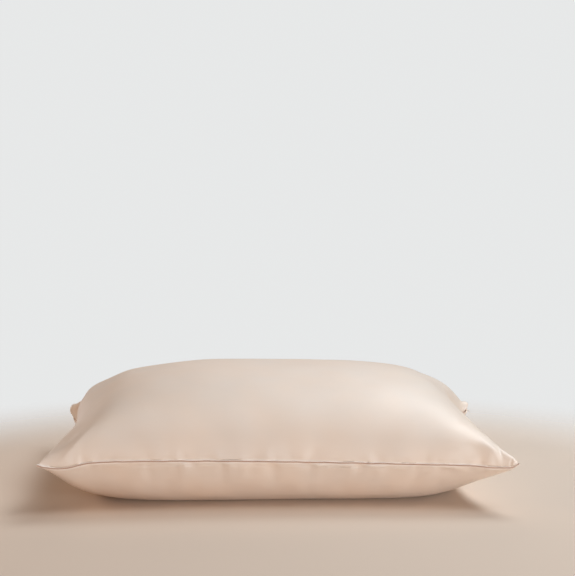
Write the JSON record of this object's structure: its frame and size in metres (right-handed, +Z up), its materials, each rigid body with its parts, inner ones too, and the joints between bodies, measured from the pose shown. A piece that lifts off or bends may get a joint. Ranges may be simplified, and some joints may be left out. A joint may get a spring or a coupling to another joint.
{
  "type": "pillowcase",
  "caption": "Smooth satin pillowcase, filled by a pillow and lying flat, with a crowned face, drawn-in sides, a sewn channel round its edge and ears at its corners.",
  "frame": {"origin": "centre of the footprint, on the surface that the pillowcase lies on", "axes": "+X along the long sides, +Y from the near long side to the far one, +Z up out of the face panel"},
  "size_m": [0.7, 0.46, 0.1882],
  "materials": {
    "silk_satin": "pale peach silk satin, smooth, with a broad soft gloss"
  },
  "bodies": {
    "root": {"pillowcase": "silk_satin"}
  },
  "joints": []
}
